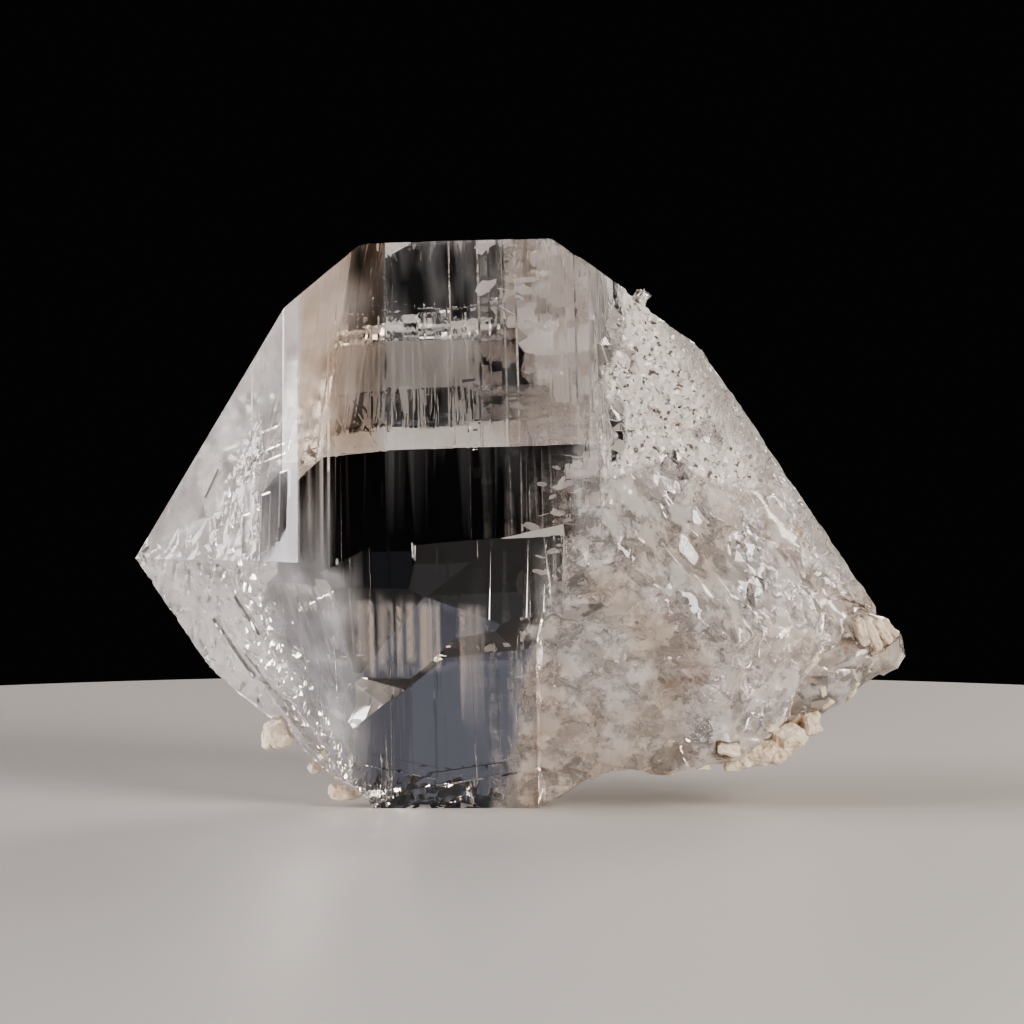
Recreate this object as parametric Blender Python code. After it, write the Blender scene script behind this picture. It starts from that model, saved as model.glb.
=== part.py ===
"""Doubly terminated quartz crystal with small pieces of feldspar on it, at its real size.

Units are metres and +Z is up. The crystal lies on a small flat spot, with its long axis
almost along X and its best side towards -Y. The origin is under the middle of the whole
part, on the surface that it stands on.

The crystal is a loft of six-sided sections along its long axis. Each side of a section
belongs to one column of crystal faces, and its distance from the axis is set by the faces
of that column: a rhombohedron face at each end, the prism face between them, and where it
has grown one steep face. Growth ledges across the axis are steps in that distance. What is
broken, chipped or etched is then cut from it.
"""

import math
import random

import bmesh
import bpy
from mathutils import Matrix, Vector, noise

MM = 0.001
PART_NAME = "quartz_specimen"

# Attitude of the crystal: its long axis rises a little to the right
AXIS_RISE = math.radians(1.6)
AXIS_HEIGHT = 28.3
FLOOR_HEIGHT = 0.0

# Angles of quartz between each kind of face and the long axis, in degrees
RHOMB = 38.21
STEEP = 21.5
PRISM = 0.0

# Faces by azimuth round the long axis: end (-1 left, 1 right, 0 prism), slope, distance in mm.
# Azimuth 0 faces the viewer and 90 faces up.
LEFT, MIDDLE, RIGHT = -1, 0, 1
COLUMNS = {
    -150: ((LEFT, RHOMB, 26.3), (MIDDLE, PRISM, 16.0), (RIGHT, RHOMB, 27.0)),
    -90: ((LEFT, RHOMB, 33.3), (MIDDLE, PRISM, 28.9)),
    -30: ((LEFT, RHOMB, 26.3), (MIDDLE, PRISM, 19.2), (RIGHT, RHOMB, 29.0)),
    30: ((LEFT, RHOMB, 26.3), (LEFT, STEEP, 22.4), (MIDDLE, PRISM, 18.5), (RIGHT, RHOMB, 20.95)),
    90: ((LEFT, RHOMB, 36.9), (MIDDLE, PRISM, 33.8), (RIGHT, RHOMB, 29.35)),
    150: ((LEFT, RHOMB, 26.3), (MIDDLE, PRISM, 20.0), (RIGHT, RHOMB, 20.95)),
}
FACES = {
    "rhomb_left_up": (LEFT, 30, RHOMB, 26.3),
    "rhomb_left_down": (LEFT, -30, RHOMB, 26.3),
    "prism_up": (MIDDLE, 30, PRISM, 18.5),
    "prism_down": (MIDDLE, -30, PRISM, 19.2),
    "rhomb_right_up": (RIGHT, 30, RHOMB, 20.95),
    "rhomb_right_down": (RIGHT, -30, RHOMB, 29.0),
}
LEFT_TIP = -42.5
RIGHT_TIP = 38.7

# Growth ledges across the long axis, in mm
LEDGE_SPACING = (0.7, 1.9)
LEDGE_RISER = 0.22
LEDGE_DEPTH_PRISM = 0.08
LEDGE_DEPTH_END = 0.02
PRISM_ZONE = (-23.0, 12.0)
LEDGE_SEED = 11
SAME_POINT = 0.002
LEDGES_AT_ONCE = 3

# Broken underside: its outline along X as (x, height) in mm, from the resting spot to the right tip
UNDERSIDE = (
    (0.5, -1.2), (2.6, 0.3), (4.5, 1.4), (6.4, 2.8), (11.0, 4.2), (15.0, 3.9), (20.0, 4.1),
    (24.0, 5.4), (28.5, 8.0), (32.0, 10.0), (36.0, 12.5), (39.5, 14.8), (46.0, 20.5),
)
UNDERSIDE_MIDDLE = (22.0, -1.0, 0.0)
UNDERSIDE_SIZE = (47.0, 50.0)
UNDERSIDE_LIFT = 5.5
UNDERSIDE_HALF_DEPTH = 18.0
UNDERSIDE_CURVE = 2.2
UNDERSIDE_CELL = 1.9
UNDERSIDE_LOWEST = -0.5

# Relief of rough quartz as layers of noise: height and size of the lumps in mm, and a seed
UNDERSIDE_RELIEF = ((0.9, 6.0, 1), (0.35, 2.4, 2))
BREAK_GRAIN = (0.1, 1.5)
ETCHED_TERRACES, ETCHED_LEVEL, ETCHED_TREAD = ((0.8, 5.0, 4),), 0.45, 0.22
ETCHED_GRAIN = ((0.25, 1.8, 5),)
HOLLOW_LUMPS, HOLLOW_LEVEL = ((0.8, 4.5, 6), (0.2, 1.6, 7)), 0.9
MILKY_TERRACES, MILKY_LEVEL, MILKY_TREAD = ((0.9, 5.0, 8),), 1.1, 0.35
MILKY_GRAIN = ((0.3, 1.8, 10),)
MILKY_LIMIT = ((1.2, 6.0, 9),)

# Distance in the noise between two seeds, and its roughness, lacunarity and octaves
SEED_STEP = Vector((7.3, 3.1, 5.7))
FRACTAL = (1.0, 2.0, 3)

# Share of each terrace that is level, before it steps up to the next one
LEVEL_SHARE = 0.7

# Broken patches: middle, outward direction, size across and along, cell, relief and lumps in mm
BROKEN = {
    "back_break": ((26.0, 8.2, 19.0), (0.50, 0.80, -0.33), (36.0, 48.0), 2.1, 1.2, 7.0),
    "left_base_break": ((-25.5, -0.5, 7.6), (-0.64, -0.06, -0.77), (24.0, 30.0), 1.4, 0.8, 4.0),
    "top_right_break": ((12.0, 0.0, 55.9), (0.59, 0.0, 0.81), (24.0, 14.0), 1.3, 0.5, 3.5),
}
BREAK_TREAD = 0.3
BREAK_SEED = 21

# Etched upper right face, the milky quartz below it and on the front, in mm
ETCHED_NEAR = (24.0, -8.0, 34.0)
ETCHED_SIZE = (46.0, 40.0)
ETCHED_CELL = 1.25
EDGE_HIGH, EDGE_LOW = (19.7, 50.5), (38.9, 22.2)
EDGE_MARGIN = (2.2, 3.6)
MILKY_TOP = (34.0, 37.0)
MILKY = {
    "prism_down": ((12.5, -14.5, 16.0), (27.0, 44.0)),
    "rhomb_right_down": ((31.0, -9.0, 14.0), (24.0, 40.0)),
}
MILKY_CELL = 1.5
CLEAR_EDGE = (0.2, 1.6)
UNCUT = 0.4

# Facets that take off the edge that faces the viewer. Each lies through three points, given
# as x, height and depth behind the edge, and reaches along X between two places, all in mm.
FRONT_FACETS = (
    (((-20.4, 26.2, 0.5), (-11.6, 29.4, 1.5), (-11.6, 24.2, 1.7)), (-22.4, -11.2)),
    (((-13.0, 29.2, 1.3), (-2.0, 30.4, 1.7), (-8.0, 24.0, 2.0)), (-13.2, 4.4)),
    (((-10.3, 24.6, 1.75), (-2.4, 30.4, 1.65), (-3.6, 23.6, 3.0)), (-13.2, 4.4)),
    (((-19.6, 25.2, 0.9), (-12.4, 24.3, 2.1), (-15.2, 22.0, 3.3)), (-22.4, -10.4)),
)
FACET_REACH = 9.0
FRONT_SCOOPS = ((3.4, 0.8, 9.0, 2.2), (8.0, 0.2, 10.0, 1.6))
SCOOP_SMOOTHNESS = 3
FRONT_CORNER = 2

# Lower front layer: outline points along X and down the face, where the layer above ends
# and where the lower face begins
LAYER_DEPTH = 1.7
LAYER_OVERSHOOT = 1.5
LAYER_ABOVE = (
    (-19.5, 33.5), (-19.2, 19.0), (-17.9, 14.8), (-11.9, 14.3), (-7.1, 9.0), (-4.2, 8.4),
    (-0.3, 4.6), (2.6, 1.6), (2.9, 33.5),
)
LAYER_BELOW = (
    (-18.6, 33.5), (-18.2, 22.0), (-14.9, 18.9), (-12.5, 17.0), (-8.2, 12.9), (-4.3, 12.4),
    (-0.6, 12.0), (1.4, 11.6), (1.8, 33.5),
)

# Small chips: face, place in the front view as (x, height), turn, length, width and depth in mm
CHIPS = (
    ("rhomb_right_up", (9.9, 49.6), 4.0, (6.6, 2.6, 1.1)),
    ("prism_up", (-5.4, 44.7), 8.0, (1.4, 5.2, 0.6)),
    ("prism_up", (-5.0, 40.6), 0.0, (0.5, 2.4, 0.4)),
    ("rhomb_left_up", (-41.2, 27.6), 20.0, (1.3, 1.8, 0.5)),
    ("rhomb_right_up", (35.9, 22.6), -3.0, (4.6, 0.4, 0.9)),
    ("rhomb_left_up", (-27.6, 31.6), 0.0, (1.3, 7.0, 0.25)),
    ("rhomb_left_up", (-29.7, 30.4), 0.0, (1.1, 4.6, 0.35)),
    ("rhomb_left_up", (-25.6, 33.4), 0.0, (1.2, 8.4, 0.2)),
    ("rhomb_left_up", (-33.6, 35.4), -32.0, (1.0, 3.4, 0.3)),
    ("rhomb_left_down", (-31.2, 17.6), -44.0, (8.0, 1.3, 0.5)),
    ("rhomb_left_down", (-27.4, 13.4), -40.0, (9.0, 1.6, 0.7)),
    ("rhomb_left_down", (-24.2, 9.4), -42.0, (9.0, 1.8, 0.8)),
    ("rhomb_left_down", (-29.6, 21.4), -48.0, (5.0, 1.0, 0.4)),
    ("prism_down", (-13.0, 4.0), -14.0, (8.0, 1.6, 1.8)),
    ("prism_down", (-5.0, 3.2), 10.0, (9.0, 1.8, 2.0)),
)

# Etch pits: places tried, their radius and depth in mm, and the part of the face they lie on
PIT_TRIES = 90
PIT_RADIUS = (0.35, 0.95)
PIT_DEPTH = 0.7
PIT_RANGE = ((11.0, 33.0), (34.0, 50.0))
PIT_SPACING = 2.0
PIT_SINK = 0.4
PIT_SIDES = 5
PIT_SEED = 5
PIT_POINT = 0.02
GROWTH_PIT = ((-34.8, 32.2), 1.2, 0.5)

# Small clear block that stands on the upper right edge: middle, size and turns
SIDE_BLOCK = ((12.9, -1.0, 55.6), (1.5, 1.7, 2.1), (6.0, 32.0, 12.0))

# Lumps of milky quartz that close the right tip: middles, sizes and turns
TIP_LUMPS = (
    ((38.0, -0.4, 18.1), (9.6, 8.4, 6.6), (6.0, 42.0, 4.0)),
    ((35.6, -1.2, 15.8), (11.0, 8.6, 6.0), (-8.0, -24.0, 10.0)),
    ((32.4, -1.4, 13.4), (12.0, 9.0, 7.0), (4.0, -30.0, -6.0)),
)
LUMP_RELIEF = 0.16
LUMP_GRAIN = 2.6

# Pieces of feldspar: form, middle, size and turns of each blade, in mm and degrees
BLADE, LUMP = "blade", "lump"
FELDSPAR = {
    "feldspar_blades": (
        (BLADE, (36.9, -4.6, 19.4), (1.2, 2.8, 3.2), (4.0, -18.0, 6.0)),
        (BLADE, (38.1, -4.6, 19.1), (1.2, 2.6, 3.9), (-3.0, -24.0, -4.0)),
        (BLADE, (39.2, -4.0, 19.4), (1.1, 2.8, 3.1), (6.0, -32.0, 8.0)),
        (BLADE, (40.1, -3.4, 19.6), (1.0, 2.6, 2.4), (-5.0, -40.0, 3.0)),
    ),
    "feldspar_crust": (
        (LUMP, (26.2, -3.6, 6.2), (6.4, 5.6, 3.2), (5.0, -16.0, 10.0)),
        (LUMP, (29.0, -3.6, 7.6), (4.4, 5.0, 3.4), (-8.0, -30.0, -12.0)),
        (BLADE, (28.0, -4.4, 5.9), (2.2, 3.0, 1.6), (10.0, -34.0, 20.0)),
        (BLADE, (31.5, -3.4, 9.2), (2.0, 2.8, 2.4), (-4.0, -10.0, 15.0)),
        (BLADE, (23.7, -4.1, 5.0), (2.8, 3.4, 1.5), (0.0, -8.0, -14.0)),
    ),
    "feldspar_block_front": (
        (BLADE, (22.3, -8.6, 6.9), (2.5, 2.2, 1.3), (0.0, 8.0, 12.0)),
    ),
    "feldspar_block_left": (
        (BLADE, (-26.7, -2.8, 8.1), (2.3, 3.4, 3.0), (4.0, -24.0, 8.0)),
        (BLADE, (-27.5, -2.4, 7.4), (1.2, 2.8, 2.2), (-6.0, -4.0, -20.0)),
    ),
    "feldspar_lump_small": (
        (LUMP, (-22.8, -2.1, 4.1), (1.5, 1.8, 1.3), (10.0, 30.0, 20.0)),
    ),
    "feldspar_lump_base": (
        (LUMP, (-19.9, -2.8, 1.7), (2.8, 3.0, 1.9), (0.0, 16.0, 14.0)),
        (LUMP, (-18.4, -1.8, 1.3), (2.2, 2.4, 1.2), (6.0, -6.0, -18.0)),
    ),
}
FELDSPAR_BEVEL = 0.28

# Thickness of the block from which a slab-shaped cutter is made, in mm
SLAB = 14.0

# Gap kept between the quartz and the feldspar in its pockets, in mm
POCKET_GAP = 0.3


def to_row(point):
    """Place of a point given in crystal axes (long axis along X), in mm, in the part's frame."""
    turned = Matrix.Rotation(-AXIS_RISE, 3, "Y") @ Vector(point)
    return turned + Vector((0.0, 0.0, AXIS_HEIGHT))


def radial(azimuth):
    """Unit direction across the long axis, in crystal axes."""
    angle = math.radians(azimuth)
    return Vector((0.0, -math.cos(angle), math.sin(angle)))


def face_normal(end, azimuth, slope):
    """Outward direction of a crystal face, in the part's frame."""
    angle = math.radians(slope)
    inside = math.cos(angle) * radial(azimuth)
    inside.x = end * math.sin(angle)
    return Matrix.Rotation(-AXIS_RISE, 3, "Y") @ inside


def face_distance(azimuth, x):
    """Distance of the crystal's side from the long axis at x, before growth ledges."""
    found = []
    for end, slope, distance in COLUMNS[azimuth]:
        angle = math.radians(slope)
        found.append((distance - end * x * math.sin(angle)) / math.cos(angle))
    return min(found)


def ledge_rings():
    """Places along the axis of every growth ledge, with the depth of each side there."""
    pick = random.Random(LEDGE_SEED)
    azimuths = sorted(COLUMNS)
    depths = {azimuth: 0.0 for azimuth in azimuths}
    rings = [(LEFT_TIP, dict(depths))]
    x = LEFT_TIP + pick.uniform(*LEDGE_SPACING)
    while x < RIGHT_TIP - LEDGE_RISER:
        in_prism = PRISM_ZONE[0] < x < PRISM_ZONE[1]
        most = LEDGE_DEPTH_PRISM if in_prism else LEDGE_DEPTH_END
        rings.append((x, dict(depths)))
        for azimuth in pick.sample(azimuths, LEDGES_AT_ONCE):
            depths[azimuth] = pick.uniform(0.0, most)
        rings.append((x + LEDGE_RISER, dict(depths)))
        x += pick.uniform(*LEDGE_SPACING)
    rings.append((RIGHT_TIP, {azimuth: 0.0 for azimuth in azimuths}))
    return rings


def section(x, depths):
    """Six corners of the section at x, in crystal axes."""
    azimuths = sorted(COLUMNS)
    sides = [face_distance(a, x) - depths[a] for a in azimuths]
    for _ in azimuths:
        for i in range(len(sides)):
            after = sides[(i + 1) % len(sides)]
            sides[i] = min(sides[i], sides[i - 1] + after)
    corners = []
    for i, azimuth in enumerate(azimuths):
        j = (i + 1) % len(sides)
        one, two = radial(azimuth), radial(azimuths[j])
        solved = Matrix(((one.y, one.z), (two.y, two.z))).inverted() @ Vector((sides[i], sides[j]))
        corners.append(Vector((x, solved.x, solved.y)))
    return corners


def new_material(name, colour, roughness, transmission=0.0, ior=1.5):
    material = bpy.data.materials.new(name)
    material.use_nodes = True
    shader = material.node_tree.nodes["Principled BSDF"]
    shader.inputs["Base Color"].default_value = (*colour, 1.0)
    shader.inputs["Roughness"].default_value = roughness
    shader.inputs["Metallic"].default_value = 0.0
    shader.inputs["Transmission Weight"].default_value = transmission
    shader.inputs["IOR"].default_value = ior
    return material


def new_object(name, bm, collection, place=Matrix()):
    """Object from a bmesh in mm, placed by a matrix in mm."""
    bmesh.ops.transform(bm, matrix=place, verts=bm.verts)
    bmesh.ops.scale(bm, vec=(MM, MM, MM), verts=bm.verts)
    mesh = bpy.data.meshes.new(name)
    bm.to_mesh(mesh)
    bm.free()
    thing = bpy.data.objects.new(name, mesh)
    collection.objects.link(thing)
    return thing


def new_cutter(name, bm, cutters, place=Matrix()):
    """Object that only shapes another one: hidden in renders and left out of the part."""
    cutter = new_object(name, bm, cutters, place)
    cutter.hide_render = True
    cutter.display_type = "WIRE"
    return cutter


def combine(thing, other, operation):
    modifier = thing.modifiers.new(other.name, "BOOLEAN")
    modifier.operation = operation
    modifier.solver = "EXACT"
    modifier.object = other


def axes(centre, outward, along):
    """Placing matrix whose Z is outward and whose X follows along as nearly as it can."""
    z = Vector(outward).normalized()
    y = z.cross(Vector(along)).normalized()
    x = y.cross(z)
    turn = Matrix((x, y, z)).transposed().to_4x4()
    return Matrix.Translation(Vector(centre)) @ turn


def rough(point, size, seed):
    """Fractal noise from about -1 to 1, with lumps of the given size in mm."""
    return noise.fractal(Vector(point) / size + seed * SEED_STEP, *FRACTAL)


def relief(point, layers):
    """Sum of layers of noise, in mm."""
    return sum(height * rough(point, size, seed) for height, size, seed in layers)


def stepped(value, tread):
    """Rounds a height down to terraces, as broken quartz steps from one layer to the next."""
    level = math.floor(value / tread)
    part = value / tread - level
    return tread * (level + max(0.0, (part - LEVEL_SHARE) / (1.0 - LEVEL_SHARE)))


def slab(name, cutters, place, size, cell, height):
    """Closed slab whose underside is the surface height(u, v) and which reaches out along Z."""
    across, along = size
    columns = max(1, round(across / cell))
    rows = max(1, round(along / cell))
    bm = bmesh.new()
    bmesh.ops.create_grid(bm, x_segments=columns, y_segments=rows, size=0.5)
    bmesh.ops.scale(bm, vec=(across, along, 1.0), verts=bm.verts)
    for vert in bm.verts:
        vert.co.z = height(vert.co.x, vert.co.y)
    grown = bmesh.ops.extrude_face_region(bm, geom=bm.faces[:])
    top = [v for v in grown["geom"] if isinstance(v, bmesh.types.BMVert)]
    for vert in top:
        vert.co.z = SLAB
    bmesh.ops.recalc_face_normals(bm, faces=bm.faces)
    return new_cutter(name, bm, cutters, place)


def block(size):
    """Box of the given size in mm, with its middle at the origin."""
    bm = bmesh.new()
    bmesh.ops.create_cube(bm, size=1.0)
    bmesh.ops.scale(bm, vec=size, verts=bm.verts)
    return bm


def make_crystal_body(parts):
    """The whole crystal with its faces and growth ledges, before anything is broken off."""
    bm = bmesh.new()
    rings = [[bm.verts.new(to_row(p)) for p in section(x, depths)] for x, depths in ledge_rings()]
    count = len(COLUMNS)
    for one, two in zip(rings, rings[1:]):
        for i in range(count):
            j = (i + 1) % count
            bm.faces.new((one[i], one[j], two[j], two[i]))
    bm.faces.new(rings[0][::-1])
    bm.faces.new(rings[-1])
    bmesh.ops.remove_doubles(bm, verts=bm.verts, dist=SAME_POINT)
    bmesh.ops.dissolve_degenerate(bm, dist=SAME_POINT, edges=bm.edges)
    cut = bm.verts[:] + bm.edges[:] + bm.faces[:]
    found = bmesh.ops.bisect_plane(
        bm, geom=cut, plane_co=(0, 0, FLOOR_HEIGHT), plane_no=(0, 0, -1), clear_outer=True)
    rim = [e for e in found["geom_cut"] if isinstance(e, bmesh.types.BMEdge)]
    bmesh.ops.contextual_create(bm, geom=rim)
    bmesh.ops.recalc_face_normals(bm, faces=bm.faces)
    return new_object("quartz_crystal", bm, parts)


def profile_height(x):
    """Height of the broken underside's outline at x."""
    for (x0, z0), (x1, z1) in zip(UNDERSIDE, UNDERSIDE[1:]):
        if x <= x1:
            return z0 + (z1 - z0) * (x - x0) / (x1 - x0)
    return UNDERSIDE[-1][1]


def cut_underside(crystal, cutters):
    """Rough broken surface under the right half, rounded up towards the front and the back."""
    place = axes(UNDERSIDE_MIDDLE, (0, 0, -1), (1, 0, 0))

    def height(u, v):
        point = place @ Vector((u, v, 0.0))
        lift = UNDERSIDE_LIFT * (abs(v) / UNDERSIDE_HALF_DEPTH) ** UNDERSIDE_CURVE
        grain = max(UNDERSIDE_LOWEST, relief(point, UNDERSIDE_RELIEF))
        return -(profile_height(point.x) + lift + grain)

    cutter = slab("underside_break", cutters, place, UNDERSIDE_SIZE, UNDERSIDE_CELL, height)
    combine(crystal, cutter, "DIFFERENCE")


def cut_broken_patches(crystal, cutters):
    """Broken places with one main direction each, stepped in terraces."""
    for seed, (name, patch) in enumerate(BROKEN.items(), BREAK_SEED):
        centre, outward, size, cell, depth, lumps = patch
        place = axes(centre, outward, (1, 0, 0))

        def height(u, v, place=place, depth=depth, lumps=lumps, seed=seed):
            point = place @ Vector((u, v, 0.0))
            terraces = stepped(rough(point, lumps, seed), BREAK_TREAD)
            return depth * terraces + relief(point, ((*BREAK_GRAIN, seed),))

        combine(crystal, slab(name, cutters, place, size, cell, height), "DIFFERENCE")


def edge_distance(point):
    """Distance in the front view from the straight edge on the upper right, in mm."""
    along = Vector(EDGE_LOW) - Vector(EDGE_HIGH)
    offset = Vector((point.x, point.z)) - Vector(EDGE_HIGH)
    return (offset.x * along.y - offset.y * along.x) / along.length


def ramp(value, low, high):
    """Rises smoothly from 0 at low to 1 at high."""
    part = min(1.0, max(0.0, (value - low) / (high - low)))
    return part * part * (3.0 - 2.0 * part)


def on_face(name, x, z):
    """Point of a crystal face at a place in the front view, and the face's outward direction."""
    end, azimuth, slope, distance = FACES[name]
    normal = face_normal(end, azimuth, slope)
    base = Vector((0.0, 0.0, AXIS_HEIGHT)) + distance * normal
    y = (normal.dot(base) - normal.x * x - normal.z * z) / normal.y
    return Vector((x, y, z)), normal


def face_axes(name, near):
    """Placing matrix on a crystal face, over the point of it that is nearest to a given one."""
    end, azimuth, slope, distance = FACES[name]
    normal = face_normal(end, azimuth, slope)
    base = Vector((0.0, 0.0, AXIS_HEIGHT)) + distance * normal
    centre = Vector(near) - (Vector(near) - base).dot(normal) * normal
    return axes(centre, normal, (1, 0, 0))


def cut_etched_face(crystal, cutters):
    """Etched hollows and terraces on the upper right face, which leave its outer edge smooth."""
    place = face_axes("rhomb_right_up", ETCHED_NEAR)

    def height(u, v):
        point = place @ Vector((u, v, 0.0))
        inside = ramp(edge_distance(point), *EDGE_MARGIN)
        milky = 1.0 - ramp(point.z, *MILKY_TOP)
        etched = stepped(ETCHED_LEVEL + relief(point, ETCHED_TERRACES), ETCHED_TREAD)
        etched += relief(point, ETCHED_GRAIN)
        lumpy = HOLLOW_LEVEL + relief(point, HOLLOW_LUMPS)
        return UNCUT - inside * (UNCUT + (1.0 - milky) * etched + milky * lumpy)

    cutter = slab("etched_face", cutters, place, ETCHED_SIZE, ETCHED_CELL, height)
    combine(crystal, cutter, "DIFFERENCE")


def cut_milky_front(crystal, cutters):
    """Lumpy surface of the milky quartz, on the lower front face and on the one beside it."""
    for name, (near, size) in MILKY.items():
        place = face_axes(name, near)

        def height(u, v, place=place):
            point = place @ Vector((u, v, 0.0))
            inside = ramp(point.x + relief(point, MILKY_LIMIT), *CLEAR_EDGE)
            lumps = stepped(MILKY_LEVEL + relief(point, MILKY_TERRACES), MILKY_TREAD)
            lumps += relief(point, MILKY_GRAIN)
            return UNCUT - inside * (UNCUT + max(0.0, lumps))

        cutter = slab(f"milky_{name}", cutters, place, size, MILKY_CELL, height)
        combine(crystal, cutter, "DIFFERENCE")


def front_edge(x):
    """Point of the edge that faces the viewer, at a place along the long axis."""
    return to_row(section(x, {azimuth: 0.0 for azimuth in COLUMNS})[FRONT_CORNER])


def cut_front_facets(crystal, cutters):
    """Flat facets that take off the edge that faces the viewer."""
    for i, (points, (start, end)) in enumerate(FRONT_FACETS):
        one, two, three = [Vector((x, front_edge(x).y + depth, z)) for x, z, depth in points]
        outward = (two - one).cross(three - one).normalized()
        if outward.y > 0.0:
            outward.negate()
        middle = (start + end) / 2.0
        centre = (one + two + three) / 3.0
        centre += Vector((1.0, -outward.x / outward.y, 0.0)) * (middle - centre.x)
        place = axes(centre, outward, (1, 0, 0)) @ Matrix.Translation((0.0, 0.0, FACET_REACH / 2.0))
        bm = block((end - start, 2.0 * FACET_REACH, FACET_REACH))
        combine(crystal, new_cutter(f"front_facet_{i}", bm, cutters, place), "DIFFERENCE")


def cut_front_scoops(crystal, cutters):
    """Shell-shaped chips out of the same edge, where it runs into the milky quartz."""
    for i, (x, rise, radius, depth) in enumerate(FRONT_SCOOPS):
        bm = bmesh.new()
        bmesh.ops.create_icosphere(bm, subdivisions=SCOOP_SMOOTHNESS, radius=radius)
        place = Matrix.Translation(front_edge(x) + Vector((0.0, depth - radius, rise)))
        combine(crystal, new_cutter(f"front_scoop_{i}", bm, cutters, place), "DIFFERENCE")


def cut_front_layer(crystal, cutters):
    """Lowers the clear lower front, so that the layer above it ends in a sloping ledge."""
    normal = face_normal(MIDDLE, -30, PRISM)
    place = axes(front_edge(0.0), normal, (1, 0, 0))
    bm = bmesh.new()
    bottom = [bm.verts.new((x, -down, -LAYER_DEPTH)) for x, down in LAYER_BELOW]
    top = []
    for (x0, down0), (x1, down1) in zip(LAYER_BELOW, LAYER_ABOVE):
        low, high = Vector((x0, -down0, -LAYER_DEPTH)), Vector((x1, -down1, 0.0))
        top.append(bm.verts.new(low + LAYER_OVERSHOOT * (high - low)))
    bm.faces.new(bottom)
    bm.faces.new(top)
    count = len(bottom)
    for i in range(count):
        j = (i + 1) % count
        bm.faces.new((bottom[i], bottom[j], top[j], top[i]))
    bmesh.ops.triangulate(bm, faces=bm.faces[:])
    bmesh.ops.recalc_face_normals(bm, faces=bm.faces)
    combine(crystal, new_cutter("front_layer", bm, cutters, place), "DIFFERENCE")


def cut_chips(crystal, cutters):
    for i, (face, (x, z), turn, (length, width, depth)) in enumerate(CHIPS):
        centre, normal = on_face(face, x, z)
        place = axes(centre, normal, (1, 0, 0)) @ Matrix.Rotation(math.radians(turn), 4, "Z")
        bm = block((length, width, 2.0 * depth))
        combine(crystal, new_cutter(f"chip_{i}", bm, cutters, place), "DIFFERENCE")


def add_pit(bm, place, radius, depth, sides):
    """Pyramid with its point at the given depth below the face and its base above it."""
    bmesh.ops.create_cone(
        bm, cap_ends=True, segments=sides, radius1=PIT_POINT, radius2=2.0 * radius, depth=2.0 * depth,
        matrix=place)


def cut_pits(crystal, cutters):
    """Etch pits scattered over the upper right face, and one growth pit on the left."""
    pick = random.Random(PIT_SEED)
    bm = bmesh.new()
    placed = []
    for _ in range(PIT_TRIES):
        x, z = pick.uniform(*PIT_RANGE[0]), pick.uniform(*PIT_RANGE[1])
        centre, normal = on_face("rhomb_right_up", x, z)
        radius = pick.uniform(*PIT_RADIUS)
        turn = Matrix.Rotation(pick.uniform(0.0, math.pi), 4, "Z")
        apart = all((centre - other).length > PIT_SPACING for other in placed)
        if apart and edge_distance(centre) > EDGE_MARGIN[1]:
            placed.append(centre)
            place = axes(centre - PIT_SINK * normal, normal, (1, 0, 0)) @ turn
            add_pit(bm, place, radius, PIT_DEPTH, PIT_SIDES)
    (x, z), radius, depth = GROWTH_PIT
    centre, normal = on_face("rhomb_left_up", x, z)
    add_pit(bm, axes(centre, normal, (1, 0, 0)), radius, depth, 3)
    combine(crystal, new_cutter("etch_pits", bm, cutters), "DIFFERENCE")


def turned(centre, turns):
    """Placing matrix from a middle point and turns about X, Y and Z in degrees."""
    matrix = Matrix.Translation(Vector(centre))
    for angle, axis in zip(turns, "XYZ"):
        matrix = matrix @ Matrix.Rotation(math.radians(angle), 4, axis)
    return matrix


def lump(size, grow=0.0):
    """Uneven faceted lump of the given size, grown by a margin where it shapes a pocket."""
    bm = bmesh.new()
    bmesh.ops.create_icosphere(bm, subdivisions=2, radius=0.5)
    for vert in bm.verts:
        uneven = 1.0 + LUMP_RELIEF * rough(vert.co * LUMP_GRAIN, 1.0, sum(size))
        vert.co *= uneven
        vert.co = Vector([c * (s + 2.0 * grow) for c, s in zip(vert.co, size)])
    return bm


def blade(size, grow=0.0):
    """Blade with bevelled edges, grown by a margin where it shapes a pocket."""
    bm = block([s + 2.0 * grow for s in size])
    bmesh.ops.bevel(bm, geom=bm.edges[:], offset=FELDSPAR_BEVEL, segments=1, affect="EDGES")
    return bm


def add_blocks(crystal, cutters):
    """Quartz that stands out from the faces: the side block and the lumps at the right tip."""
    centre, size, turns = SIDE_BLOCK
    combine(crystal, new_cutter("side_block", block(size), cutters, turned(centre, turns)), "UNION")
    for i, (centre, size, turns) in enumerate(TIP_LUMPS):
        cutter = new_cutter(f"tip_lump_{i}", lump(size), cutters, turned(centre, turns))
        combine(crystal, cutter, "UNION")


def make_feldspar(name, blades, home, cutters, grow=0.0):
    """One piece of feldspar: its blades and lumps joined into one solid."""
    forms = {BLADE: blade, LUMP: lump}
    form, centre, size, turns = blades[0]
    piece = new_object(name, forms[form](size, grow), home, turned(centre, turns))
    for i, (form, centre, size, turns) in enumerate(blades[1:]):
        shape = forms[form](size, grow)
        other = new_cutter(f"{name}_{i}", shape, cutters, turned(centre, turns))
        combine(piece, other, "UNION")
    return piece


def cut_pocket(crystal, cutters, name, blades):
    """Pocket in the quartz, with a small gap all round the feldspar."""
    pocket = make_feldspar(f"{name}_pocket", blades, cutters, cutters, POCKET_GAP)
    pocket.hide_render = True
    pocket.display_type = "WIRE"
    combine(crystal, pocket, "DIFFERENCE")


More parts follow.
